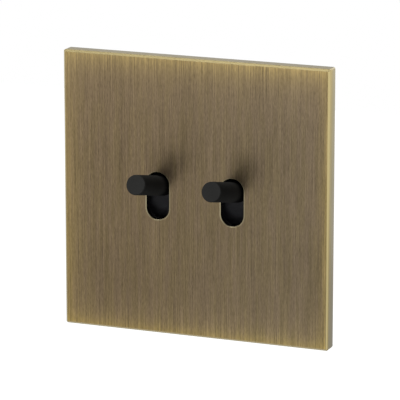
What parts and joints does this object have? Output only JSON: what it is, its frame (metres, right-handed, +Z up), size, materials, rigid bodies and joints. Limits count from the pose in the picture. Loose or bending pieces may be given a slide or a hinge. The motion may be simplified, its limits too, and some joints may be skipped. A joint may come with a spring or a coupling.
{
  "type": "double toggle push switch",
  "caption": "Square patinated brass wall plate with sprung toggle levers in stadium slots, held by magnets over a steel frame with clip-in switch modules.",
  "frame": {"origin": "centre of the wall plane, between the box screws, on the back of the mounting frame", "axes": "+X to the right seen from the room, +Y into the wall, +Z up"},
  "size_m": [0.08, 0.0495, 0.08],
  "materials": {
    "patinated_brass": "vertically brushed antique bronze patina",
    "nickel_magnet": "nickel plated",
    "zinc_steel": "zinc plated",
    "terminal_brass": "bright, lightly tarnished",
    "black_moulding": "fine spark-eroded moulding",
    "rocker_moulding": "smooth matt moulding",
    "black_lever": "matt black coating",
    "pin_steel": "ground",
    "white_moulding": "natural nylon",
    "contact_copper": "rolled copper",
    "contact_silver": "struck silver",
    "spring_steel": "drawn wire"
  },
  "bodies": {
    "base": {"faceplate": "patinated_brass", "plate_magnets": "nickel_magnet", "mounting_frame": "zinc_steel", "earth_clamp": "terminal_brass", "earth_screw": "terminal_brass", "left_front_cover": "black_moulding", "left_housing": "black_moulding", "left_pivot_pin": "pin_steel", "left_fixed_tips": "contact_silver", "left_line_terminal": "terminal_brass", "left_load_terminal": "terminal_brass", "left_terminal_clamps": "zinc_steel", "left_terminal_screws": "zinc_steel", "left_return_spring": "spring_steel", "right_front_cover": "black_moulding", "right_housing": "black_moulding", "right_pivot_pin": "pin_steel", "right_fixed_tips": "contact_silver", "right_line_terminal": "terminal_brass", "right_load_terminal": "terminal_brass", "right_terminal_clamps": "zinc_steel", "right_terminal_screws": "zinc_steel", "right_return_spring": "spring_steel"},
    "left_toggle": {"left_lever": "black_lever", "left_rocker": "rocker_moulding"},
    "left_slider": {"left_plunger": "white_moulding", "left_contact_bridge": "contact_copper", "left_bridge_tips": "contact_silver"},
    "right_toggle": {"right_lever": "black_lever", "right_rocker": "rocker_moulding"},
    "right_slider": {"right_plunger": "white_moulding", "right_contact_bridge": "contact_copper", "right_bridge_tips": "contact_silver"}
  },
  "joints": [
    {"name": "left_lever_pivot", "type": "hinge", "parent": "base", "child": "left_toggle", "pos_m": [-0.01125, 0.0093, 0], "axis": [1, 0, 0], "range_deg": [0, 25.4], "stiffness_Nm_per_rad": 0.12, "springref_deg": -17.19},
    {"name": "left_plunger_slide", "type": "slide", "parent": "base", "child": "left_slider", "axis": [0, 1, 0], "range_m": [0, 0.00264], "deforming": ["left_return_spring"]},
    {"name": "right_lever_pivot", "type": "hinge", "parent": "base", "child": "right_toggle", "pos_m": [0.01125, 0.0093, 0], "axis": [1, 0, 0], "range_deg": [0, 25.4], "stiffness_Nm_per_rad": 0.12, "springref_deg": -17.19},
    {"name": "right_plunger_slide", "type": "slide", "parent": "base", "child": "right_slider", "axis": [0, 1, 0], "range_m": [0, 0.00264], "deforming": ["right_return_spring"]}
  ],
  "couplings": [
    {"joint": "left_plunger_slide", "follows": "left_lever_pivot", "m_per_rad": 0.005951},
    {"joint": "right_plunger_slide", "follows": "right_lever_pivot", "m_per_rad": 0.005951}
  ]
}
